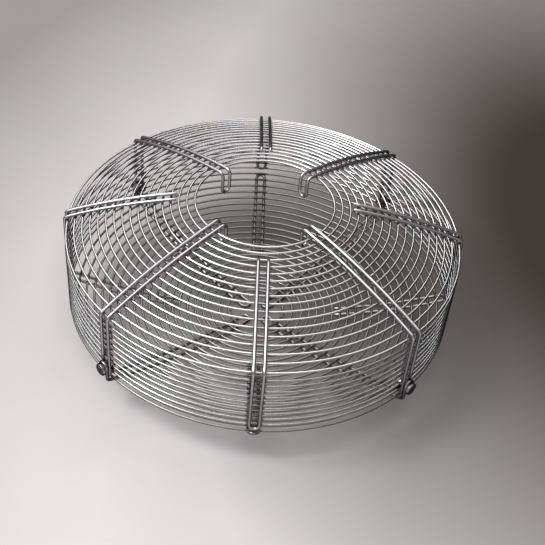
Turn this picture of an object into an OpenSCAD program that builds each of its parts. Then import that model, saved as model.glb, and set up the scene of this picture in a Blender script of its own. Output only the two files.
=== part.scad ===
// Wire fan guard: a welded wire cage for an axial fan. A deep basket carries the motor in four hooks round
// the opening in its crown, and a domed grille is bolted over its mouth. The guard lies on the grille.
// Z is up, the origin is on the cage's axis at the height of its lowest point, and all sizes are in millimetres.

/* [Cage] */
// Radius of the cage, to the middle of the wire of its outermost rings
cage_r = 250; // [240:1:265]
// Radius of the dome that the rings of the crown and of the grille follow
dome_r = 680; // [620:5:760]
// Diameter of the wire of the rings
ring_wire = 3; // [2.6:0.1:3.4]
// Diameter of the wire of the ribs
rib_wire = 4.2; // [3.8:0.1:4.6]
// Distance between the two wires of a rib, middle to middle
rib_gauge = 12; // [11:0.5:13]
// Inside of a bend in a rib, to the middle of the wire
bend_r = 6; // [5:0.5:8]
// Space left between two wires at a weld
weld_gap = 0.05; // [0.03:0.01:0.1]

/* [Crown] */
// Rings of the crown, from the motor opening to the corner
crown_rings = 17; // [15:1:18]
// Radius of the ring round the motor opening
mouth_r = 87.5; // [80:0.5:95]
// How far the hooks stand inside the ring round the motor opening
hook_inset = 16.5; // [14:0.5:20]
// Straight length of a hook
hook_leg = 18.4; // [14:0.2:24]
// Ring that the ends of the plain ribs reach
plain_rib_ring = 4; // [3:1:6]
// Length of the cut end of a rib past the last ring that it carries
rib_overrun = 7.2; // [6:0.1:8]
// Place of the outermost ring in the corner bend, in degrees above the horizontal
corner_angle = 35; // [25:1:45]

/* [Wall] */
// Rings of the wall
wall_rings = 9; // [8:1:10]
// Spacing of the rings of the wall
wall_pitch = 9.4; // [9:0.1:10]
// Height of the crown's outermost ring above the wall
corner_gap = 11.8; // [11:0.1:13]
// Height of the lowest ring of the wall above the rim of the grille
rim_gap = 11.1; // [10:0.1:13]
// Height of the hook ribs' lower bends above the rim, to the middle of the wire
hook_rib_lift = 2; // [1.6:0.1:4]
// Height of the plain ribs' lower bends above the rim, to the middle of the wire
plain_rib_lift = 7.7; // [5:0.1:9]

/* [Grille] */
// Rings of the grille, from the rim to the middle
grille_rings = 21; // [19:1:22]
// Radius of the innermost ring
eye_r = 37.6; // [34:0.2:42]
// Spacing of the three innermost rings
eye_pitch = 12.6; // [11:0.1:14]
// Radius of the long ribs' inner bends, to the middle of the wire
long_rib_eye = 15; // [12:0.5:20]
// Ring that the inner ends of the short ribs reach
short_rib_ring = 14; // [12:1:16]
// How far the short ribs' outer bends stand past the rim, to the middle of the wire
short_rib_overhang = 1.5; // [1:0.1:3]
// Height of the middle of the long ribs' arches above the clamp bolts
arch_lift = 3; // [2:0.1:5]

/* [Clamps] */
// Diameter of the clamp bolts
bolt_d = 5; // [4:0.5:5]
// Length of the clamp bolts under the head
bolt_len = 20; // [19:1:25]
// Diameter of the head
head_d = 16; // [14:0.5:18]
// Thickness of the head
head_t = 2.5; // [2:0.1:3]
// Radius of the rounded edge of the head
head_edge = 0.9; // [0.5:0.1:1.5]
// Diameter of the washers
washer_d = 15; // [13.5:0.5:17]
// Thickness of the washers
washer_t = 1.2; // [1:0.1:1.5]
// Width across the flats of the nuts
nut_flats = 8; // [7:0.5:9]
// Thickness of the nuts
nut_t = 4; // [3:0.1:4.5]
// Clearance of a washer round its bolt
washer_play = 0.25; // [0.1:0.05:0.4]
// Clearance of a nut round the crests of its bolt's thread
thread_play = 0.05; // [0.03:0.01:0.08]

/* [Hidden] */
ring_steps = 180;
wire_steps = 24;

// Sides of a rib's wire, and steps in its bends, its arcs and its closed ends
wire_sides = 8;
corner_steps = 4;
hook_steps = 6;
arc_steps = 8;
end_steps = 8;

ring_rad = ring_wire / 2;
rib_rad = rib_wire / 2;
half_gauge = rib_gauge / 2;
bolt_rad = bolt_d / 2;

// Middle to middle of a ring wire and a rib wire that are welded together, and of two rib wires side by side
seat = ring_rad + rib_rad + weld_gap;
rib_seat = rib_wire + weld_gap;

// A rib wire follows a circle of this radius in its own plane, half a gauge to one side of the axis, and so
// stays at one distance from the dome of the rings
rib_sphere_r = dome_r + seat;
rib_arc_r = sqrt(rib_sphere_r ^ 2 - half_gauge ^ 2);
bend_sphere_r = rib_arc_r - bend_r;

// Height of the dome at radius r, over its middle point
function dome_height(r) = sqrt(dome_r ^ 2 - r ^ 2);
// Angle off the axis at which a bend with its middle at radius x leaves the rib's arc
function bend_angle(x) = asin(x / bend_sphere_r);
function bend_height(x) = sqrt(bend_sphere_r ^ 2 - x ^ 2);
// Angle off the axis of the middle of a closed end whose tip is at radius tip, on the outside or the inside
function outer_tip_angle(tip) = asin(tip / rib_sphere_r) - atan2(half_gauge, rib_arc_r);
function inner_tip_angle(tip) = asin(tip / rib_sphere_r) + atan2(half_gauge, rib_arc_r);

// Grille: the inner bends of its long ribs touch z = 0
inner_tip = inner_tip_angle(long_rib_eye);
grille_mid_z = rib_arc_r * cos(inner_tip) + half_gauge * sin(inner_tip) + rib_rad;
function grille_z(r) = grille_mid_z - dome_height(r);
eye_rings = 2;
grille_pitch = (cage_r - eye_r - eye_rings * eye_pitch) / (grille_rings - 1 - eye_rings);
function grille_ring_r(i) =
    i <= grille_rings - eye_rings ? cage_r - grille_pitch * (i - 1) : eye_r + eye_pitch * (grille_rings - i);

// Wall: the ribs' wires stand outside its rings
wall_x = sqrt((cage_r + seat) ^ 2 - half_gauge ^ 2);
rim_z = grille_z(cage_r);
wall_base_z = rim_z + rim_gap;
function wall_ring_z(i) = wall_base_z + wall_pitch * (wall_rings - i);

// Crown: its outermost ring lies inside the corner bends of the ribs
corner_x = wall_x - bend_r;
corner_ring_z = wall_ring_z(1) + corner_gap;
corner_z = corner_ring_z - (bend_r - seat) * sin(corner_angle);
corner_ring_x = corner_x + (bend_r - seat) * cos(corner_angle);
corner_ring_r = sqrt(corner_ring_x ^ 2 + half_gauge ^ 2);
crown_mid_z = corner_z - bend_height(corner_x);
crown_pitch = (corner_ring_r - mouth_r) / (crown_rings - 1);
function crown_ring_r(i) = mouth_r + crown_pitch * (i - 1);
function crown_ring_z(i) = i == crown_rings ? corner_ring_z : crown_mid_z + dome_height(crown_ring_r(i));

// Hooks
hook_r = mouth_r - hook_inset;
hook_bend_x = hook_r + bend_r;
hook_bend_z = crown_mid_z + bend_height(hook_bend_x);
hook_tip_z = hook_bend_z - hook_leg;

// Clamps: each bolt passes between the two lowest rings of the wall and between the wires of both ribs
clamp_z = wall_base_z + wall_pitch / 2;
long_rib_x = wall_x + rib_seat;
outer_washer_x = long_rib_x + rib_rad + weld_gap;
head_x = outer_washer_x + washer_t;
washer_chord = sqrt((washer_d / 2) ^ 2 - (wall_pitch / 2) ^ 2);
inner_washer_x = sqrt((cage_r - ring_rad) ^ 2 - washer_chord ^ 2) - weld_gap - washer_t;
nut_x = inner_washer_x - nut_t;
arch_z = clamp_z + arch_lift;

quarter_turns = [0, 90, 180, 270];
diagonals = [45, 135, 225, 315];

function two_digits(i) = str(i < 10 ? "0" : "", i);
function crown_name(i) = str("crown_ring_", two_digits(i));
function wall_name(i) = str("wall_ring_", i);
function grille_name(i) = str("grille_ring_", two_digits(i));
function hook_name(i) = str("hook_rib_", i);

// A closed ring of wire of radius r, lying at height z
module ring(r, z) {
    translate([0, 0, z])
        rotate_extrude($fn = ring_steps)
            translate([r, 0])
                circle(r = ring_rad, $fn = wire_steps);
}

// A rib is one wire swept along a path. The path lies in an upright plane, with x outward from the axis of the
// cage and z up, and the rib has a run on each side of that plane, half a gauge away. A station [x, z, a] lets
// the wire pass (x, z) towards the direction a + 90 degrees, with the rings on the side facing away from a.

// Stations of a bend of radius r round (x, z) from angle a to angle b. Its chords touch the circle from outside.
function bend(x, z, r, a, b, steps) =
    let (step = (b - a) / steps, out_r = r / cos(step / 2), turns = [for (i = [0:steps - 1]) a + (i + 0.5) * step])
    concat(
        [[x + r * cos(a), z + r * sin(a), a]],
        [for (t = turns) [x + out_r * cos(t), z + out_r * sin(t), t]],
        [[x + r * cos(b), z + r * sin(b), b]]
    );

// Middle, direction and outward normal of the wire at a station: it runs forwards on side 1, back on side -1
function run_frame(s, side) = [
    [s[0], side * half_gauge, s[1]],
    [-side * sin(s[2]), 0, side * cos(s[2])],
    [cos(s[2]), 0, sin(s[2])]
];

// The same round a closed end: way is 1 past the last station of a path, and -1 before its first
function end_frames(s, way) =
    let (step = 180 / end_steps, out_r = half_gauge / cos(step / 2))
    [for (i = [0:end_steps - 1])
        let (t = (i + 0.5) * step, along = way * out_r * sin(t))
        [
            [s[0] - along * sin(s[2]), way * out_r * cos(t), s[1] + along * cos(s[2])],
            [-way * cos(t) * sin(s[2]), -way * sin(t), way * cos(t) * cos(s[2])],
            [cos(s[2]), 0, sin(s[2])]
        ]
    ];

function last(list) = list[len(list) - 1];
function backwards(list) = [for (i = [len(list) - 1:-1:0]) list[i]];
function both_runs(path, way) = concat(
    [for (s = way > 0 ? path : backwards(path)) run_frame(s, way)],
    end_frames(way > 0 ? last(path) : path[0], way),
    [for (s = way > 0 ? backwards(path) : path) run_frame(s, -way)]
);

// Wire swept through its frames, either closed on itself or cut off at both ends
module swept_wire(frames, closed) {
    n = wire_sides;
    m = len(frames);
    corner_r = rib_rad / cos(180 / n);
    points = [
        for (f = frames, j = [0:n - 1])
            let (t = (j + 0.5) * 360 / n)
            f[0] + corner_r * (cos(t) * f[2] + sin(t) * cross(f[1], f[2]))
    ];
    sides = [
        for (i = [0:closed ? m - 1 : m - 2], j = [0:n - 1])
            let (a = i * n, b = (i + 1) % m * n, k = (j + 1) % n)
            each [[a + j, b + j, b + k], [a + j, b + k, a + k]]
    ];
    ends = closed ? [] : [[for (j = [0:n - 1]) j], [for (j = [n - 1:-1:0]) (m - 1) * n + j]];
    polyhedron(points, concat(sides, ends), convexity = 10);
}

// Rib closed at both ends of its path
module closed_rib(path) {
    swept_wire(concat(both_runs(path, 1), end_frames(path[0], -1)), true);
}

// Rib closed at one end of its path, the last for way 1 and the first for way -1, and cut off at the other
module open_rib(path, way) {
    swept_wire(both_runs(path, way), false);
}

// Path of a crown rib from height end_z up the wall, round the corner and over the dome to inner_angle
function crown_path(end_z, inner_angle) =
    let (turn = 90 - bend_angle(corner_x))
    concat(
        [[wall_x, end_z, 0]],
        bend(corner_x, corner_z, bend_r, 0, turn, corner_steps),
        bend(0, crown_mid_z, rib_arc_r, turn, 90 - inner_angle, arc_steps)
    );

// Rib whose inner end is bent down into a hook, which holds an arm of the motor between its two runs
module hook_rib(azimuth) {
    angle = bend_angle(hook_bend_x);
    path = concat(
        crown_path(rim_z + hook_rib_lift + half_gauge, angle),
        bend(hook_bend_x, hook_bend_z, bend_r, 90 - angle, 180, hook_steps),
        [[hook_r, hook_tip_z, 180]]
    );
    color("silver") rotate([0, 0, azimuth]) closed_rib(path);
}

// Ribs between the hooks: both runs are cut off inside the ring plain_rib_ring
module crown_plain_ribs() {
    end_r = crown_ring_r(plain_rib_ring) - rib_overrun;
    path = crown_path(rim_z + plain_rib_lift + half_gauge, asin(end_r / rib_arc_r));
    color("silver")
        for (azimuth = quarter_turns)
            rotate([0, 0, azimuth])
                open_rib(path, -1);
}

// Ribs that run under the grille from its middle, round the rim and up outside the wall, closed at both ends
module grille_long_ribs() {
    bend_x = long_rib_x - bend_r;
    bend_z = grille_mid_z - bend_height(bend_x);
    start = bend_angle(bend_x) - 90;
    path = concat(
        bend(0, grille_mid_z, rib_arc_r, inner_tip - 90, start, arc_steps),
        bend(bend_x, bend_z, bend_r, start, 0, corner_steps),
        [[long_rib_x, arch_z, 0]]
    );
    color("silver")
        for (azimuth = diagonals)
            rotate([0, 0, azimuth])
                closed_rib(path);
}

// Ribs under the outer rings of the grille, cut off inside the ring short_rib_ring and closed past the rim
module grille_short_ribs() {
    end_r = grille_ring_r(short_rib_ring) - rib_overrun;
    tip = outer_tip_angle(cage_r + short_rib_overhang);
    path = bend(0, grille_mid_z, rib_arc_r, asin(end_r / rib_arc_r) - 90, tip - 90, arc_steps);
    color("silver")
        for (azimuth = quarter_turns)
            rotate([0, 0, azimuth])
                open_rib(path, 1);
}

// The four clamps: each child is drawn along the z axis from 0, and lies outward from x on the bolt's axis
module at_clamps(x) {
    for (azimuth = diagonals)
        rotate([0, 0, azimuth])
            translate([x, 0, clamp_z])
                rotate([0, 90, 0])
                    children();
}

module clamp_bolts() {
    head_rad = head_d / 2;
    color("gainsboro")
        at_clamps(head_x) {
            translate([0, 0, -bolt_len])
                cylinder(h = bolt_len, r = bolt_rad, $fn = 48);
            rotate_extrude($fn = 64)
                head_profile(head_rad);
        }
}

// Half section of a flat round head with a rounded upper edge
module head_profile(head_rad) {
    square([head_rad, head_t - head_edge]);
    square([head_rad - head_edge, head_t]);
    translate([head_rad - head_edge, head_t - head_edge])
        circle(r = head_edge, $fn = 32);
}

module washer() {
    difference() {
        cylinder(h = washer_t, r = washer_d / 2, $fn = 64);
        translate([0, 0, -1])
            cylinder(h = washer_t + 2, r = bolt_rad + washer_play, $fn = 48);
    }
}

module outer_washers() {
    color("gainsboro") at_clamps(outer_washer_x) washer();
}

module inner_washers() {
    color("gainsboro") at_clamps(inner_washer_x) washer();
}

module clamp_nuts() {
    color("gainsboro")
        at_clamps(nut_x)
            difference() {
                cylinder(h = nut_t, d = nut_flats / cos(30), $fn = 6);
                translate([0, 0, -1])
                    cylinder(h = nut_t + 2, r = bolt_rad + thread_play, $fn = 48);
            }
}

for (i = [1:crown_rings])
    color("silver") ring(crown_ring_r(i), crown_ring_z(i));
for (i = [1:wall_rings])
    color("silver") ring(cage_r, wall_ring_z(i));
for (i = [1:grille_rings])
    color("silver") ring(grille_ring_r(i), grille_z(grille_ring_r(i)));
for (i = [1:4])
    hook_rib(diagonals[i - 1]);
crown_plain_ribs();
grille_long_ribs();
grille_short_ribs();
clamp_bolts();
outer_washers();
inner_washers();
clamp_nuts();
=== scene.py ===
"""Looks of the wire fan guard: plated wire, welds, screw clamps, a pale table and soft light.

Metres, +Z up, in the frame of the CAD model. The rings, washers and nuts keep their CAD meshes. The ribs
and the clamp bolts are drawn again on the same lines, as round bent wire and as screws with a socket and
a thread.
"""

import math
import random

import bpy
import numpy as np
from mathutils import Matrix, Vector


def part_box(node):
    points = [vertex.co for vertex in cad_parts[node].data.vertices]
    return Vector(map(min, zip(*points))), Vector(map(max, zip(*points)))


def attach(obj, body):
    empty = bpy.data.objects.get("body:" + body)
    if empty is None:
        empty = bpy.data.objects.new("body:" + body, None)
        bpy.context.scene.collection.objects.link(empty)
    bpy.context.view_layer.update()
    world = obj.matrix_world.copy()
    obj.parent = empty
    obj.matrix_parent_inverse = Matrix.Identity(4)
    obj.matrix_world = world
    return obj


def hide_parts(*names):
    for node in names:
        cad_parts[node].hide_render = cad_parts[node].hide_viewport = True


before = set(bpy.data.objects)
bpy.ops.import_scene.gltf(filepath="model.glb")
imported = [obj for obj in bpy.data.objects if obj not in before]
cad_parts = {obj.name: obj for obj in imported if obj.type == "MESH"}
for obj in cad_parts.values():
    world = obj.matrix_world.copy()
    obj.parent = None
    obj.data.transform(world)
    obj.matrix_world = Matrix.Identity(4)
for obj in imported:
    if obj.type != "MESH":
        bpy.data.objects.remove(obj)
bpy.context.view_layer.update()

MM = 0.001


# ---------------------------------------------------------------- sizes of the guard

def ring_size(node):
    """Radius and height of a ring's middle line, and the radius of its wire."""
    low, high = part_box(node)
    wire_r = (high.z - low.z) / 2
    return (high.x - low.x) / 2 - wire_r, (high.z + low.z) / 2, wire_r


CROWN_RINGS = [ring_size(f"crown_ring_{i:02d}") for i in range(1, 18)]
WALL_RINGS = [ring_size(f"wall_ring_{i}") for i in range(1, 10)]
GRILLE_RINGS = [ring_size(f"grille_ring_{i:02d}") for i in range(1, 22)]

CAGE_R, _, RING_R = WALL_RINGS[0]
RIM_Z = GRILLE_RINGS[0][1]
MOUTH_R = CROWN_RINGS[0][0]
CORNER_RING_Z = CROWN_RINGS[-1][1]

RIB_R = 2.1 * MM
HALF_GAUGE = 6 * MM
BEND_R = 6 * MM
WELD_GAP = 0.05 * MM
CUT_EDGE = 0.35 * MM
DOME_R = 680 * MM
SEAT = RING_R + RIB_R + WELD_GAP
RIB_SPHERE_R = DOME_R + SEAT
RIB_ARC_R = math.sqrt(RIB_SPHERE_R ** 2 - HALF_GAUGE ** 2)
BEND_SPHERE_R = RIB_ARC_R - BEND_R

WALL_X = math.sqrt((CAGE_R + SEAT) ** 2 - HALF_GAUGE ** 2)
CORNER_X = WALL_X - BEND_R
CORNER_ANGLE = math.radians(35)
CORNER_Z = CORNER_RING_Z - (BEND_R - SEAT) * math.sin(CORNER_ANGLE)
CROWN_MID_Z = CORNER_Z - math.sqrt(BEND_SPHERE_R ** 2 - CORNER_X ** 2)

EYE_TIP = 15 * MM
INNER_TIP = math.asin(EYE_TIP / RIB_SPHERE_R) + math.atan2(HALF_GAUGE, RIB_ARC_R)
GRILLE_MID_Z = RIB_ARC_R * math.cos(INNER_TIP) + HALF_GAUGE * math.sin(INNER_TIP) + RIB_R

HOOK_R = MOUTH_R - 16.5 * MM
HOOK_LEG = 18.4 * MM
HOOK_RIB_LIFT = 2 * MM
PLAIN_RIB_LIFT = 7.7 * MM
PLAIN_RIB_RING = 4
SHORT_RIB_RING = 14
RIB_OVERRUN = 7.2 * MM
SHORT_RIB_OVERHANG = 1.5 * MM
ARCH_LIFT = 3 * MM

CLAMP_Z = (WALL_RINGS[7][1] + WALL_RINGS[8][1]) / 2
LONG_RIB_X = WALL_X + 2 * RIB_R + WELD_GAP
WASHER_T = 1.2 * MM
HEAD_X = LONG_RIB_X + RIB_R + WELD_GAP + WASHER_T
BOLT_LEN = 20 * MM
BOLT_R = 2.5 * MM
THREAD_PITCH = 0.8 * MM
THREAD_DEPTH = 0.45 * MM
TIP_CHAMFER = 0.8 * MM
HEAD_R = 8 * MM
HEAD_T = 2.5 * MM
HEAD_EDGE = 0.9 * MM
HEAD_CHAMFER = 0.15 * MM
DISH_R = 6 * MM
DISH_DEPTH = 0.35 * MM
SOCKET_R = 2 * MM
SOCKET_DEPTH = 1.7 * MM
SHARP_EDGE = math.radians(40)

BEND_STEP_DEG = 7
DOME_STEP_DEG = 0.8
WIRE_SIDES = 16
END_STEPS = 14
BEAD_ROWS = 5
BEAD_SIDES = 9
HEAD_SIDES = 48
HEAD_EDGE_STEPS = 6
THREAD_SIDES = 32
THREAD_STEPS = 8

DIAGONALS = [math.radians(a) for a in (45, 135, 225, 315)]
QUARTERS = [math.radians(a) for a in (0, 90, 180, 270)]


# ---------------------------------------------------------------- meshes

def add_piece(name, verts, faces, material):
    """A smooth-shaded mesh of the guard, riding on its one body."""
    mesh = bpy.data.meshes.new(name)
    mesh.from_pydata([tuple(v) for v in verts], [], faces)
    mesh.materials.append(material)
    mesh.polygons.foreach_set("use_smooth", [True] * len(mesh.polygons))
    mesh.update()
    piece = bpy.data.objects.new(name, mesh)
    bpy.context.scene.collection.objects.link(piece)
    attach(piece, "root")
    return piece


def turned(points, angle):
    """Points turned about the axis of the cage."""
    c, s = math.cos(angle), math.sin(angle)
    return np.array(points) @ np.array([[c, s, 0], [-s, c, 0], [0, 0, 1]])


def bend(x, z, r, start, end, step_deg):
    """Stations [x, z, angle] of a bend of radius r round (x, z)."""
    steps = max(2, round(abs(math.degrees(end - start)) / step_deg))
    turns = [start + (end - start) * i / steps for i in range(steps + 1)]
    return [(x + r * math.cos(t), z + r * math.sin(t), t) for t in turns]


def band(low, high, sides, flipped=False):
    """Faces between two closed rows of vertices that start at low and high."""
    faces = [(low + j, low + (j + 1) % sides, high + (j + 1) % sides, high + j) for j in range(sides)]
    return [(a, d, c, b) for a, b, c, d in faces] if flipped else faces


def run_frame(station, side):
    """Middle, direction and outward normal of a rib's wire, on its run to one side."""
    x, z, a = station
    return (
        (x, side * HALF_GAUGE, z),
        (-side * math.sin(a), 0, side * math.cos(a)),
        (math.cos(a), 0, math.sin(a)))


def end_frames(station, way):
    """The same round the closed end past a station."""
    x, z, a = station
    frames = []
    for i in range(1, END_STEPS):
        t = math.pi * i / END_STEPS
        along = way * HALF_GAUGE * math.sin(t)
        frames.append((
            (x - along * math.sin(a), way * HALF_GAUGE * math.cos(t), z + along * math.cos(a)),
            (-way * math.cos(t) * math.sin(a), -way * math.sin(t), way * math.cos(t) * math.cos(a)),
            (math.cos(a), 0, math.sin(a))))
    return frames


def both_runs(path, way):
    """Frames along one run of a rib, round the end that way points to, and back along the other run."""
    forth, back = (path, path[::-1]) if way > 0 else (path[::-1], path)
    return ([run_frame(s, way) for s in forth]
            + end_frames(forth[-1], way)
            + [run_frame(s, -way) for s in back])


def sweep(frames, closed):
    """Round wire through its frames, with cut ends a little rounded where it isn't closed."""
    rings = [(np.array(middle), np.array(way), np.array(out), RIB_R) for middle, way, out in frames]
    if not closed:
        middle, way, out, _ = rings[0]
        rings[:1] = [(middle, way, out, RIB_R - CUT_EDGE), (middle + way * CUT_EDGE, way, out, RIB_R)]
        middle, way, out, _ = rings[-1]
        rings[-1:] = [(middle - way * CUT_EDGE, way, out, RIB_R), (middle, way, out, RIB_R - CUT_EDGE)]
    verts = []
    for middle, way, out, r in rings:
        aside = np.cross(way, out)
        for j in range(WIRE_SIDES):
            a = 2 * math.pi * j / WIRE_SIDES
            verts.append(middle + r * (math.cos(a) * out + math.sin(a) * aside))
    count = len(rings)
    faces = []
    for i in range(count if closed else count - 1):
        faces += band(i * WIRE_SIDES, (i + 1) % count * WIRE_SIDES, WIRE_SIDES)
    if not closed:
        faces.append(tuple(range(WIRE_SIDES - 1, -1, -1)))
        faces.append(tuple((count - 1) * WIRE_SIDES + j for j in range(WIRE_SIDES)))
    return verts, faces


def merged(parts):
    """One list of vertices and faces from several."""
    verts, faces = [], []
    for part_verts, part_faces in parts:
        base = len(verts)
        verts.extend(part_verts)
        faces.extend(tuple(base + i for i in f) for f in part_faces)
    return verts, faces


def rib_copies(frames, closed, angles):
    """The same rib turned to each of these angles, as one mesh."""
    verts, faces = sweep(frames, closed)
    return merged([(list(turned(verts, a)), faces) for a in angles])


# ---------------------------------------------------------------- materials

def new_material(name):
    """A material with its nodes, links and main shader."""
    material = bpy.data.materials.new(name)
    material.use_nodes = True
    nodes = material.node_tree.nodes
    return material, nodes, material.node_tree.links, nodes["Principled BSDF"]


def group_io(group, inputs, outputs):
    """Sockets of a node group, and the two nodes that carry them inside."""
    for name, kind, value in inputs:
        socket = group.interface.new_socket(name, in_out="INPUT", socket_type=kind)
        socket.default_value = value
    for name, kind in outputs:
        group.interface.new_socket(name, in_out="OUTPUT", socket_type=kind)
    return group.nodes.new("NodeGroupInput"), group.nodes.new("NodeGroupOutput")


def plated_group():
    """Cloudy tone, fine drawing marks and dull flecks of zinc plating."""
    group = bpy.data.node_groups.new("zinc_plating", "ShaderNodeTree")
    given, out = group_io(
        group,
        [("Bright", "NodeSocketColor", (0.86, 0.86, 0.87, 1)),
         ("Dull", "NodeSocketColor", (0.55, 0.55, 0.56, 1)),
         ("Cloud Scale", "NodeSocketFloat", 60.0),
         ("Fleck Amount", "NodeSocketFloat", 0.3),
         ("Gloss Roughness", "NodeSocketFloat", 0.2),
         ("Dull Roughness", "NodeSocketFloat", 0.42),
         ("Grain Height", "NodeSocketFloat", 0.03)],
        [("Color", "NodeSocketColor"), ("Roughness", "NodeSocketFloat"), ("Normal", "NodeSocketVector")])
    nodes, links = group.nodes, group.links
    place = nodes.new("ShaderNodeTexCoord")

    cloud = nodes.new("ShaderNodeTexNoise")
    cloud.inputs["Detail"].default_value = 4
    cloud.inputs["Roughness"].default_value = 0.6
    links.new(place.outputs["Object"], cloud.inputs["Vector"])
    links.new(given.outputs["Cloud Scale"], cloud.inputs["Scale"])
    soft = nodes.new("ShaderNodeMapRange")
    soft.inputs["From Min"].default_value = 0.3
    soft.inputs["From Max"].default_value = 0.75
    links.new(cloud.outputs["Fac"], soft.inputs["Value"])

    flecks = nodes.new("ShaderNodeTexVoronoi")
    flecks.inputs["Scale"].default_value = 900
    links.new(place.outputs["Object"], flecks.inputs["Vector"])
    spots = nodes.new("ShaderNodeMapRange")
    spots.inputs["From Min"].default_value = 0.28
    spots.inputs["From Max"].default_value = 0.05
    links.new(flecks.outputs["Distance"], spots.inputs["Value"])
    scaled = nodes.new("ShaderNodeMath")
    scaled.operation = "MULTIPLY"
    links.new(spots.outputs["Result"], scaled.inputs[0])
    links.new(given.outputs["Fleck Amount"], scaled.inputs[1])

    dull = nodes.new("ShaderNodeMath")
    dull.operation = "ADD"
    dull.use_clamp = True
    cloudy = nodes.new("ShaderNodeMath")
    cloudy.operation = "MULTIPLY"
    cloudy.inputs[1].default_value = 0.6
    links.new(soft.outputs["Result"], cloudy.inputs[0])
    links.new(cloudy.outputs["Value"], dull.inputs[0])
    links.new(scaled.outputs["Value"], dull.inputs[1])

    tone = nodes.new("ShaderNodeMix")
    tone.data_type = "RGBA"
    links.new(dull.outputs["Value"], tone.inputs["Factor"])
    links.new(given.outputs["Bright"], tone.inputs["A"])
    links.new(given.outputs["Dull"], tone.inputs["B"])
    links.new(tone.outputs["Result"], out.inputs["Color"])

    rough = nodes.new("ShaderNodeMix")
    links.new(dull.outputs["Value"], rough.inputs["Factor"])
    links.new(given.outputs["Gloss Roughness"], rough.inputs["A"])
    links.new(given.outputs["Dull Roughness"], rough.inputs["B"])
    links.new(rough.outputs["Result"], out.inputs["Roughness"])

    grain = nodes.new("ShaderNodeTexNoise")
    grain.inputs["Scale"].default_value = 2200
    grain.inputs["Detail"].default_value = 3
    links.new(place.outputs["Object"], grain.inputs["Vector"])
    relief = nodes.new("ShaderNodeBump")
    relief.inputs["Distance"].default_value = 0.00004
    links.new(given.outputs["Grain Height"], relief.inputs["Strength"])
    links.new(grain.outputs["Fac"], relief.inputs["Height"])
    links.new(relief.outputs["Normal"], out.inputs["Normal"])
    return group


def weld_tint_and_shade_group():
    """How dark the ring wire is made by weld heat tint and by painted shade between the rib runs: 1 between
    the two runs of each rib, 0 further away.
    """
    group = bpy.data.node_groups.new("weld_tint_and_painted_shade", "ShaderNodeTree")
    given, out = group_io(
        group, [("Reach", "NodeSocketFloat", 0.0085), ("Plain Rib Radius", "NodeSocketFloat", 0.112)],
        [("Tint", "NodeSocketFloat")])
    nodes, links = group.nodes, group.links

    def math_node(operation, *values):
        node = nodes.new("ShaderNodeMath")
        node.operation = operation
        for socket, value in zip(node.inputs, values):
            if isinstance(value, (int, float)):
                socket.default_value = value
            else:
                links.new(value, socket)
        return node.outputs["Value"]

    place = nodes.new("ShaderNodeTexCoord")
    axes = nodes.new("ShaderNodeSeparateXYZ")
    links.new(place.outputs["Object"], axes.inputs["Vector"])
    x, y = axes.outputs["X"], axes.outputs["Y"]
    radius = math_node("SQRT", math_node("ADD", math_node("MULTIPLY", x, x), math_node("MULTIPLY", y, y)))
    ribs_per_half = len(DIAGONALS + QUARTERS) / 2
    angle = math_node("MULTIPLY", math_node("ARCTAN2", y, x), ribs_per_half)
    sway = math_node("ABSOLUTE", math_node("SINE", angle))
    aside = math_node("MULTIPLY", sway, math_node("DIVIDE", radius, ribs_per_half))
    near = nodes.new("ShaderNodeMapRange")
    near.interpolation_type = "SMOOTHSTEP"
    links.new(aside, near.inputs["Value"])
    links.new(given.outputs["Reach"], near.inputs["From Min"])
    links.new(math_node("ADD", given.outputs["Reach"], 3 * MM), near.inputs["From Max"])
    near.inputs["To Min"].default_value = 1.0
    near.inputs["To Max"].default_value = 0.0
    diagonal = math_node("LESS_THAN", math_node("COSINE", angle), 0.0)
    outside = math_node("GREATER_THAN", radius, given.outputs["Plain Rib Radius"])
    ribbed = math_node("MAXIMUM", diagonal, outside)
    patches = nodes.new("ShaderNodeTexNoise")
    patches.inputs["Scale"].default_value = 130
    patches.inputs["Detail"].default_value = 3
    links.new(place.outputs["Object"], patches.inputs["Vector"])
    uneven = nodes.new("ShaderNodeMapRange")
    for socket, value in (("From Min", 0.3), ("From Max", 0.65), ("To Min", 0.6), ("To Max", 1.0)):
        uneven.inputs[socket].default_value = value
    links.new(patches.outputs["Fac"], uneven.inputs["Value"])
    even = math_node("MULTIPLY", near.outputs["Result"], ribbed)
    tint = math_node("MULTIPLY", even, uneven.outputs["Result"])
    links.new(tint, out.inputs["Tint"])
    return group


PLATING = plated_group()
WELD_TINT_AND_SHADE = weld_tint_and_shade_group()


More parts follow.
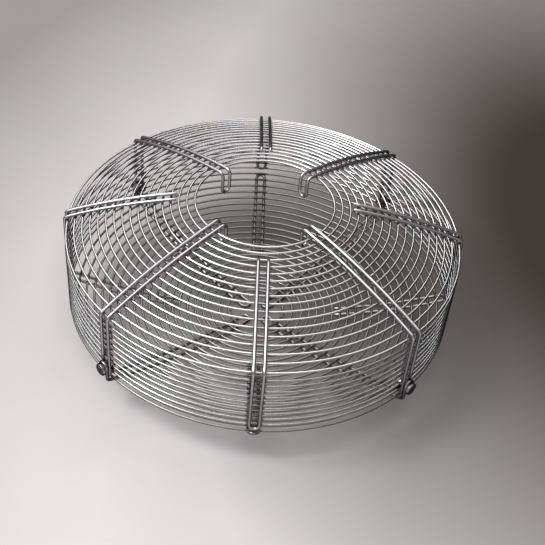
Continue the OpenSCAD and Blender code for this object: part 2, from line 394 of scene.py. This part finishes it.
def plated_material(name, painted_flank_shade=0.9, weld_tint_and_shade_amount=0.0, **values):
    """Plated metal whose flanks are painted dark by the view angle, a painted reflection of a dark room as
    bright wire shows it, and whose ring wire between the rib runs is darkened by weld tint and painted shade,
    by the given weld amount.
    """
    material, nodes, links, shader = new_material(name)
    plating = nodes.new("ShaderNodeGroup")
    plating.node_tree = PLATING
    for key, value in values.items():
        plating.inputs[key.replace("_", " ").title()].default_value = value
    shader.inputs["Metallic"].default_value = 1.0
    # Painted reflection: the base colour darkens towards the flanks as the surface turns away from the view.
    turn = nodes.new("ShaderNodeLayerWeight")
    turn.inputs["Blend"].default_value = 0.5
    edge = nodes.new("ShaderNodeMapRange")
    edge.interpolation_type = "SMOOTHSTEP"
    for socket, value in (("From Min", 0.07), ("From Max", 0.52), ("To Min", 1.0), ("To Max", 1.0 - painted_flank_shade)):
        edge.inputs[socket].default_value = value
    links.new(turn.outputs["Facing"], edge.inputs["Value"])
    darker = nodes.new("ShaderNodeMix")
    darker.data_type = "RGBA"
    darker.blend_type = "MULTIPLY"
    darker.inputs["Factor"].default_value = 1.0
    links.new(plating.outputs["Color"], darker.inputs["A"])
    links.new(edge.outputs["Result"], darker.inputs["B"])
    shader.inputs["Specular Tint"].default_value = (0.3, 0.3, 0.3, 1)
    tint_and_shade_node = nodes.new("ShaderNodeGroup")
    tint_and_shade_node.node_tree = WELD_TINT_AND_SHADE
    amount = nodes.new("ShaderNodeMath")
    amount.operation = "MULTIPLY"
    amount.inputs[1].default_value = weld_tint_and_shade_amount
    links.new(tint_and_shade_node.outputs["Tint"], amount.inputs[0])
    # Weld heat tint and painted shade: a near-black colour mixed in between the two runs of each rib.
    tinted = nodes.new("ShaderNodeMix")
    tinted.data_type = "RGBA"
    tinted.inputs["B"].default_value = (0.05, 0.045, 0.04, 1)
    links.new(amount.outputs["Value"], tinted.inputs["Factor"])
    links.new(darker.outputs["Result"], tinted.inputs["A"])
    links.new(tinted.outputs["Result"], shader.inputs["Base Color"])
    links.new(plating.outputs["Roughness"], shader.inputs["Roughness"])
    links.new(plating.outputs["Normal"], shader.inputs["Normal"])
    return material


def table_material():
    """Pale matt table with painted light and shade in its colour: brightest at the front left, with painted
    shade on the right, towards the back and the back left, and a painted shadow under the guard.
    """
    material, nodes, links, shader = new_material("pale_table")
    place = nodes.new("ShaderNodeTexCoord")

    def reach(middle, stretch, start, end, low, high, power=1.0):
        """A value that climbs from low to high with the distance from a middle point."""
        moved = nodes.new("ShaderNodeVectorMath")
        moved.operation = "SUBTRACT"
        moved.inputs[1].default_value = middle
        links.new(place.outputs["Object"], moved.inputs[0])
        scaled = nodes.new("ShaderNodeVectorMath")
        scaled.operation = "MULTIPLY"
        scaled.inputs[1].default_value = stretch
        links.new(moved.outputs["Vector"], scaled.inputs[0])
        length = nodes.new("ShaderNodeVectorMath")
        length.operation = "LENGTH"
        links.new(scaled.outputs["Vector"], length.inputs[0])
        part = nodes.new("ShaderNodeMapRange")
        part.inputs["From Min"].default_value = start
        part.inputs["From Max"].default_value = end
        links.new(length.outputs["Value"], part.inputs["Value"])
        curve = nodes.new("ShaderNodeMath")
        curve.operation = "POWER"
        curve.inputs[1].default_value = power
        links.new(part.outputs["Result"], curve.inputs[0])
        level = nodes.new("ShaderNodeMapRange")
        level.inputs["To Min"].default_value = low
        level.inputs["To Max"].default_value = high
        links.new(curve.outputs["Value"], level.inputs["Value"])
        return level.outputs["Result"]

    def times(first, second):
        """The product of two values."""
        product = nodes.new("ShaderNodeMath")
        product.operation = "MULTIPLY"
        links.new(first, product.inputs[0])
        links.new(second, product.inputs[1])
        return product.outputs["Value"]

    mottle = nodes.new("ShaderNodeTexNoise")
    mottle.inputs["Scale"].default_value = 5
    mottle.inputs["Detail"].default_value = 5
    links.new(place.outputs["Object"], mottle.inputs["Vector"])
    patch = nodes.new("ShaderNodeMapRange")
    patch.inputs["To Min"].default_value = 0.93
    patch.inputs["To Max"].default_value = 1.07
    links.new(mottle.outputs["Fac"], patch.inputs["Value"])

    # Painted shade: darker to the right, towards the back and towards the back left; under_shade is a painted
    # shadow under the guard.
    right_shade = reach((0.55, 0.25, 0), (1.67, 1.0, 0), 0.26, 1.12, 0.03, 1.0, 1.4)
    back_shade = reach((0, -0.9, 0), (0, 1, 0), 0.7, 1.5, 1.0, 0.85)
    left_shade = reach((0.25, -0.3, 0), (1, 0.55, 0), 0.42, 0.9, 1.0, 0.4)
    under_shade = reach((0.03, 0.1, 0), (1, 1, 0), 0.12, 0.34, 0.4, 1.0)
    far_shade = times(right_shade, back_shade)
    near_shade = times(times(left_shade, under_shade), patch.outputs["Result"])
    # Colour A is the painted shade and colour B the table's own pale colour; the mottle patch is the table's
    # own uneven tone.
    tone = nodes.new("ShaderNodeMix")
    tone.data_type = "RGBA"
    tone.inputs["A"].default_value = (0.02, 0.012, 0.006, 1)
    tone.inputs["B"].default_value = (0.71, 0.675, 0.685, 1)
    links.new(times(far_shade, near_shade), tone.inputs["Factor"])
    links.new(tone.outputs["Result"], shader.inputs["Base Color"])
    shader.inputs["Roughness"].default_value = 0.8
    shader.inputs["Specular IOR Level"].default_value = 0.1
    return material


# The crown and wall rings are one wire: the crown copy is painted lighter as painted light, the wall copy
# darker as painted shade, with stronger painted shade between the rib runs.
CROWN_PLATING_LIT = plated_material(
    "plated_crown_wire_painted_light", weld_tint_and_shade_amount=0.45, bright=(0.97, 0.97, 0.97, 1), dull=(0.75, 0.75, 0.76, 1),
    fleck_amount=0.2, gloss_roughness=0.22, dull_roughness=0.34, grain_height=0.02)
WALL_PLATING_SHADED = plated_material(
    "plated_wall_wire_painted_shade", weld_tint_and_shade_amount=0.95, bright=(0.8, 0.8, 0.8, 1), dull=(0.5, 0.5, 0.51, 1),
    fleck_amount=0.2, gloss_roughness=0.18, dull_roughness=0.32, grain_height=0.02)
RIB_PLATING = plated_material(
    "plated_rib_wire", painted_flank_shade=0.75, bright=(0.84, 0.84, 0.86, 1), dull=(0.52, 0.52, 0.54, 1),
    cloud_scale=45.0, fleck_amount=0.4, gloss_roughness=0.24)
# Painted shade: the grille rings and ribs are the same plated wire, coloured darker because they lie in shade
# under the crown.
GRILLE_PLATING_SHADED = plated_material(
    "plated_grille_wire_painted_shade", weld_tint_and_shade_amount=0.75, bright=(0.52, 0.5, 0.48, 1), dull=(0.32, 0.31, 0.3, 1),
    fleck_amount=0.3, gloss_roughness=0.3, dull_roughness=0.45)
GRILLE_RIB_PLATING_SHADED = plated_material(
    "plated_grille_rib_painted_shade", bright=(0.55, 0.54, 0.53, 1), dull=(0.25, 0.25, 0.25, 1),
    cloud_scale=45.0, fleck_amount=0.4, gloss_roughness=0.28)
WELD_PLATING = plated_material(
    "plated_weld", bright=(0.62, 0.61, 0.6, 1), dull=(0.34, 0.33, 0.32, 1),
    cloud_scale=240.0, fleck_amount=0.6, gloss_roughness=0.34, dull_roughness=0.6, grain_height=0.4)
SCREW_PLATING = plated_material(
    "plated_screws", bright=(0.72, 0.72, 0.74, 1), dull=(0.3, 0.3, 0.31, 1),
    cloud_scale=150.0, fleck_amount=0.3, gloss_roughness=0.22)


# ---------------------------------------------------------------- ribs

def crown_path(end_z, inner_angle):
    """Stations of a basket rib, from its lower end up the wall, round the corner and in over the crown."""
    turn = math.pi / 2 - math.asin(CORNER_X / BEND_SPHERE_R)
    return ([(WALL_X, end_z, 0.0)]
            + bend(CORNER_X, CORNER_Z, BEND_R, 0, turn, BEND_STEP_DEG)
            + bend(0, CROWN_MID_Z, RIB_ARC_R, turn, math.pi / 2 - inner_angle, DOME_STEP_DEG)[1:])


def add_hook_ribs():
    """Ribs on the diagonals, which end in the hooks in the motor opening."""
    bend_x = HOOK_R + BEND_R
    bend_z = CROWN_MID_Z + math.sqrt(BEND_SPHERE_R ** 2 - bend_x ** 2)
    angle = math.asin(bend_x / BEND_SPHERE_R)
    path = (crown_path(RIM_Z + HOOK_RIB_LIFT + HALF_GAUGE, angle)
            + bend(bend_x, bend_z, BEND_R, math.pi / 2 - angle, math.pi, BEND_STEP_DEG)[1:]
            + [(HOOK_R, bend_z - HOOK_LEG, math.pi)])
    frames = both_runs(path, 1) + end_frames(path[0], -1)
    for i, azimuth in enumerate(DIAGONALS, 1):
        piece = add_piece(f"hook_wire_{i}", *rib_copies(frames, True, [azimuth]), RIB_PLATING)
        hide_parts(f"hook_rib_{i}")


def add_plain_ribs():
    """Basket ribs between the hook ribs, cut off past their innermost ring."""
    end_r = CROWN_RINGS[PLAIN_RIB_RING - 1][0] - RIB_OVERRUN
    path = crown_path(RIM_Z + PLAIN_RIB_LIFT + HALF_GAUGE, math.asin(end_r / RIB_ARC_R))
    piece = add_piece("crown_plain_wires", *rib_copies(both_runs(path, -1), False, QUARTERS), RIB_PLATING)
    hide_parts("crown_plain_ribs")


def add_long_grille_ribs():
    """Grille ribs on the diagonals, which run round the rim and up under the clamps."""
    bend_x = LONG_RIB_X - BEND_R
    bend_z = GRILLE_MID_Z - math.sqrt(BEND_SPHERE_R ** 2 - bend_x ** 2)
    start = math.asin(bend_x / BEND_SPHERE_R) - math.pi / 2
    path = (bend(0, GRILLE_MID_Z, RIB_ARC_R, INNER_TIP - math.pi / 2, start, DOME_STEP_DEG)
            + bend(bend_x, bend_z, BEND_R, start, 0, BEND_STEP_DEG)[1:]
            + [(LONG_RIB_X, CLAMP_Z + ARCH_LIFT, 0.0)])
    frames = both_runs(path, 1) + end_frames(path[0], -1)
    piece = add_piece("grille_long_wires", *rib_copies(frames, True, DIAGONALS), GRILLE_RIB_PLATING_SHADED)
    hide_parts("grille_long_ribs")


def add_short_grille_ribs():
    """Grille ribs between the long ones, from their innermost ring out to just past the rim."""
    end_r = GRILLE_RINGS[SHORT_RIB_RING - 1][0] - RIB_OVERRUN
    inner_tip = math.asin(end_r / RIB_ARC_R)
    rim_tip = math.asin((CAGE_R + SHORT_RIB_OVERHANG) / RIB_SPHERE_R) - math.atan2(HALF_GAUGE, RIB_ARC_R)
    path = bend(0, GRILLE_MID_Z, RIB_ARC_R, inner_tip - math.pi / 2, rim_tip - math.pi / 2, DOME_STEP_DEG)
    ribs = rib_copies(both_runs(path, 1), False, QUARTERS)
    piece = add_piece("grille_short_wires", *ribs, GRILLE_RIB_PLATING_SHADED)
    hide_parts("grille_short_ribs")


# ---------------------------------------------------------------- welds

def weld_bead(middle, across, along, out, rng):
    """Flat uneven bead of squeezed-out metal between two crossed wires."""
    half_width = 1.85 * MM * rng.uniform(0.9, 1.12)
    half_length = 2.0 * MM * rng.uniform(0.88, 1.15)
    half_height = 0.95 * MM
    verts = [middle + out * half_height]
    for i in range(1, BEAD_ROWS):
        a = math.pi * i / BEAD_ROWS
        for j in range(BEAD_SIDES):
            b = 2 * math.pi * j / BEAD_SIDES
            r = math.sin(a) * rng.uniform(0.93, 1.05)
            verts.append(middle + out * half_height * math.cos(a)
                         + across * half_width * r * math.cos(b) + along * half_length * r * math.sin(b))
    verts.append(middle - out * half_height)
    last = len(verts) - 1
    faces = [(0, 1 + j, 1 + (j + 1) % BEAD_SIDES) for j in range(BEAD_SIDES)]
    for row in range(1, last - BEAD_SIDES, BEAD_SIDES):
        faces += band(row, row + BEAD_SIDES, BEAD_SIDES, flipped=True)
    base = last - BEAD_SIDES
    faces += [(last, base + (j + 1) % BEAD_SIDES, base + j) for j in range(BEAD_SIDES)]
    return verts, faces


def ring_welds(rings, angles, outward, rng):
    """Beads where both runs of the ribs at these angles cross the rings; outward gives the way to the rib."""
    beads = []
    for r, z, _ in rings:
        x = math.sqrt(r * r - HALF_GAUGE ** 2)
        for angle in angles:
            for side in (-1, 1):
                out = outward(x, side * HALF_GAUGE, z)
                middle = np.array([x, side * HALF_GAUGE, z]) + out * (RING_R + WELD_GAP / 2)
                across = np.array([-side * HALF_GAUGE, x, 0]) / r
                along = np.cross(across, out)
                points = turned([middle, across, along, out], angle)
                beads.append(weld_bead(*points, rng))
    return merged(beads)


def from_point(mid_z):
    """The way to the rib on a dome round a point of the axis."""
    def outward(x, y, z):
        v = np.array([x, y, z - mid_z])
        return v / np.linalg.norm(v)
    return outward


def from_axis(x, y, z):
    """The way to the rib on the wall."""
    v = np.array([x, y, 0])
    return v / np.linalg.norm(v)


def from_corner(x, y, z):
    """The way to the rib on the ring at the corner."""
    v = np.array([x - CORNER_X, 0, z - CORNER_Z])
    return v / np.linalg.norm(v)


def add_welds():
    """Beads at all crossings of the crown, the wall and the grille."""
    rng = random.Random(7)
    over_dome = from_point(CROWN_MID_Z)
    under_dome = from_point(GRILLE_MID_Z)
    dome_rings = CROWN_RINGS[:-1]
    sets = {
        "crown_welds": [
            ring_welds(dome_rings, DIAGONALS, over_dome, rng),
            ring_welds(dome_rings[PLAIN_RIB_RING - 1:], QUARTERS, over_dome, rng),
            ring_welds(CROWN_RINGS[-1:], DIAGONALS + QUARTERS, from_corner, rng)],
        "wall_welds": [ring_welds(WALL_RINGS, DIAGONALS + QUARTERS, from_axis, rng)],
        "grille_welds": [
            ring_welds(GRILLE_RINGS, DIAGONALS, under_dome, rng),
            ring_welds(GRILLE_RINGS[:SHORT_RIB_RING], QUARTERS, under_dome, rng)],
    }
    for name, parts in sets.items():
        add_piece(name, *merged(parts), WELD_PLATING)


# ---------------------------------------------------------------- clamps

def painted_recess_shade_material():
    """The dish and socket of a screw head painted near black, a painted reflection of a dark room and painted
    shade in the recess, mottled between two dark tones.
    """
    material, nodes, links, shader = new_material("screw_recess_painted_shade")
    place = nodes.new("ShaderNodeTexCoord")
    recess_shade_mottle = nodes.new("ShaderNodeTexNoise")
    recess_shade_mottle.inputs["Scale"].default_value = 700
    recess_shade_mottle.inputs["Detail"].default_value = 4
    links.new(place.outputs["Object"], recess_shade_mottle.inputs["Vector"])
    tone = nodes.new("ShaderNodeMix")
    tone.data_type = "RGBA"
    tone.inputs["A"].default_value = (0.008, 0.008, 0.009, 1)
    tone.inputs["B"].default_value = (0.06, 0.058, 0.055, 1)
    links.new(recess_shade_mottle.outputs["Fac"], tone.inputs["Factor"])
    links.new(tone.outputs["Result"], shader.inputs["Base Color"])
    shader.inputs["Metallic"].default_value = 0.6
    shader.inputs["Roughness"].default_value = 0.5
    return material


def lathe(profile):
    """Open surface of revolution about x through (x, radius) points."""
    verts, faces = [], []
    for x, r in profile:
        for j in range(HEAD_SIDES):
            a = 2 * math.pi * j / HEAD_SIDES
            verts.append(np.array([x, r * math.cos(a), r * math.sin(a)]))
    for i in range(len(profile) - 1):
        faces += band(i * HEAD_SIDES, (i + 1) * HEAD_SIDES, HEAD_SIDES)
    return verts, faces


def hexagon(x, r):
    """Points round a hexagon of corner radius r in the plane at x."""
    points = []
    for j in range(HEAD_SIDES):
        a = 2 * math.pi * j / HEAD_SIDES
        flat = math.cos(math.pi / 6) / math.cos((a % (math.pi / 3)) - math.pi / 6)
        points.append(np.array([x, r * flat * math.cos(a), r * flat * math.sin(a)]))
    return points


def screw_head():
    """Flat round head with a rounded edge, a shallow dish and a hexagon socket."""
    floor = HEAD_T - DISH_DEPTH
    profile = [(0, BOLT_R), (0, HEAD_R - HEAD_CHAMFER), (HEAD_CHAMFER, HEAD_R), (HEAD_T - HEAD_EDGE, HEAD_R)]
    for i in range(1, HEAD_EDGE_STEPS + 1):
        a = math.pi / 2 * i / HEAD_EDGE_STEPS
        profile.append((HEAD_T - HEAD_EDGE + HEAD_EDGE * math.sin(a),
                        HEAD_R - HEAD_EDGE + HEAD_EDGE * math.cos(a)))
    profile += [(HEAD_T, DISH_R + 0.5 * MM), (HEAD_T - 0.08 * MM, DISH_R + 0.2 * MM),
                (floor, DISH_R - 0.3 * MM), (floor, SOCKET_R * 1.25)]
    verts, faces = lathe(profile)
    for x, r in ((floor, SOCKET_R * 1.1), (floor - 0.12 * MM, SOCKET_R), (floor - SOCKET_DEPTH, SOCKET_R)):
        base = len(verts)
        verts += hexagon(x, r)
        faces += band(base - HEAD_SIDES, base, HEAD_SIDES)
    faces.append(tuple(len(verts) - HEAD_SIDES + j for j in range(HEAD_SIDES)))
    return verts, faces


def screw_shank():
    """Threaded shank from the head inward, with a chamfered tip."""
    rows = int(BOLT_LEN / THREAD_PITCH * THREAD_STEPS)
    verts, faces = [], []
    for i in range(rows + 1):
        x = -BOLT_LEN * i / rows
        tip_r = BOLT_R - TIP_CHAMFER + (BOLT_LEN + x)
        for j in range(THREAD_SIDES):
            a = 2 * math.pi * j / THREAD_SIDES
            wave = abs(((i / THREAD_STEPS - j / THREAD_SIDES) % 1) * 2 - 1)
            r = min(tip_r, BOLT_R - THREAD_DEPTH * min(1, max(0, wave * 1.35 - 0.1)))
            verts.append(np.array([x, r * math.cos(a), r * math.sin(a)]))
    for i in range(rows):
        faces += band(i * THREAD_SIDES, (i + 1) * THREAD_SIDES, THREAD_SIDES, flipped=True)
    faces.append(tuple(rows * THREAD_SIDES + j for j in range(THREAD_SIDES - 1, -1, -1)))
    return verts, faces


def add_screws():
    """The four clamp screws, each with a dish and socket in its head painted dark as painted reflection and
    shade.
    """
    verts, faces = merged([screw_head(), screw_shank()])
    placed = np.array(verts) + np.array([HEAD_X, 0, CLAMP_Z])
    copies = merged([(list(turned(placed, a)), faces) for a in DIAGONALS])
    piece = add_piece("clamp_screws", *copies, SCREW_PLATING)
    piece.data.materials.append(painted_recess_shade_material())
    # Faces in the dish and socket get the painted dark reflection and shade.
    for polygon in piece.data.polygons:
        middle = sum(verts[i] for i in faces[polygon.index % len(faces)]) / len(polygon.vertices)
        if middle[0] > 0.5 * MM and math.hypot(middle[1], middle[2]) < DISH_R + 0.4 * MM:
            polygon.material_index = 1
    sharp = piece.modifiers.new("edges", "EDGE_SPLIT")
    sharp.split_angle = SHARP_EDGE
    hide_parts("clamp_bolts")


# ---------------------------------------------------------------- rings, washers and nuts of the CAD model

def finish_cad_nodes():
    """Platings for the nodes that keep their CAD meshes."""
    platings = {"crown": CROWN_PLATING_LIT, "wall": WALL_PLATING_SHADED, "grille": GRILLE_PLATING_SHADED}
    for name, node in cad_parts.items():
        material = platings.get(name.split("_")[0], SCREW_PLATING)
        node.data.materials.clear()
        node.data.materials.append(material)


# ---------------------------------------------------------------- table, light and camera

def add_table():
    """The table's top, wide enough to fill the view."""
    half_width, front_y, back_y = 1.3, -1.0, 1.7
    corners = [(-half_width, front_y, 0), (half_width, front_y, 0),
               (half_width, back_y, 0), (-half_width, back_y, 0)]
    mesh = bpy.data.meshes.new("table_top")
    mesh.from_pydata(corners, [], [(0, 1, 2, 3)])
    mesh.materials.append(table_material())
    table = bpy.data.objects.new("table_top", mesh)
    bpy.context.scene.collection.objects.link(table)


def add_lamp(name, place, target, size, power):
    """An area lamp of a size in metres, turned to its target."""
    light = bpy.data.lights.new(name, "AREA")
    light.shape = "RECTANGLE"
    light.size, light.size_y = size
    light.energy = power
    lamp = bpy.data.objects.new(name, light)
    lamp.location = place
    lamp.rotation_euler = (Vector(target) - Vector(place)).to_track_quat("-Z", "Y").to_euler()
    bpy.context.scene.collection.objects.link(lamp)


def add_light():
    """Bright from above and the left, dark round the horizon, so wires get a white top and dark flanks."""
    world = bpy.data.worlds.new("room")
    world.use_nodes = True
    nodes, links = world.node_tree.nodes, world.node_tree.links
    place = nodes.new("ShaderNodeTexCoord")
    toward = nodes.new("ShaderNodeVectorMath")
    toward.operation = "DOT_PRODUCT"
    toward.inputs[1].default_value = Vector((-0.42, 0.22, 0.88)).normalized()
    links.new(place.outputs["Generated"], toward.inputs[0])
    glow = nodes.new("ShaderNodeMapRange")
    glow.interpolation_type = "SMOOTHSTEP"
    for socket, value in (("From Min", 0.4), ("From Max", 0.93), ("To Min", 0.16), ("To Max", 1.6)):
        glow.inputs[socket].default_value = value
    links.new(toward.outputs["Value"], glow.inputs["Value"])
    seen = nodes.new("ShaderNodeLightPath")
    shown = nodes.new("ShaderNodeMix")
    shown.inputs["B"].default_value = 0.45
    links.new(seen.outputs["Is Camera Ray"], shown.inputs["Factor"])
    links.new(glow.outputs["Result"], shown.inputs["A"])
    background = nodes["Background"]
    background.inputs["Color"].default_value = (1.0, 0.985, 0.98, 1)
    links.new(shown.outputs["Result"], background.inputs["Strength"])
    bpy.context.scene.world = world
    guard_middle = (0, 0, 0.1)
    add_lamp("window", (-1.7, -0.5, 2.6), guard_middle, (0.9, 0.9), 32)
    add_lamp("ceiling_strip", (-0.2, 2.3, 2.1), guard_middle, (2.4, 0.6), 28)


def add_camera():
    """The view over the guard's front edge, rolled a little and with a shifted lens."""
    data = bpy.data.cameras.new("camera")
    data.sensor_width = 36
    data.lens = 65.3
    data.shift_x = 0.1036
    data.shift_y = -0.0255
    camera = bpy.data.objects.new("camera", data)
    forward = Vector((-0.0154, 0.7515, -0.6595)).normalized()
    level = forward.cross(Vector((0, 0, 1))).normalized()
    up = level.cross(forward)
    roll = math.radians(2.69)
    right = math.cos(roll) * level + math.sin(roll) * up
    top = math.cos(roll) * up - math.sin(roll) * level
    turn = Matrix((right, top, -forward)).transposed().to_4x4()
    camera.matrix_world = Matrix.Translation((-0.0376, -0.980, 0.954)) @ turn
    bpy.context.scene.collection.objects.link(camera)
    bpy.context.scene.camera = camera


finish_cad_nodes()
add_hook_ribs()
add_plain_ribs()
add_long_grille_ribs()
add_short_grille_ribs()
add_welds()
add_screws()
add_table()
add_light()
add_camera()

bpy.context.scene.view_settings.view_transform = "Standard"
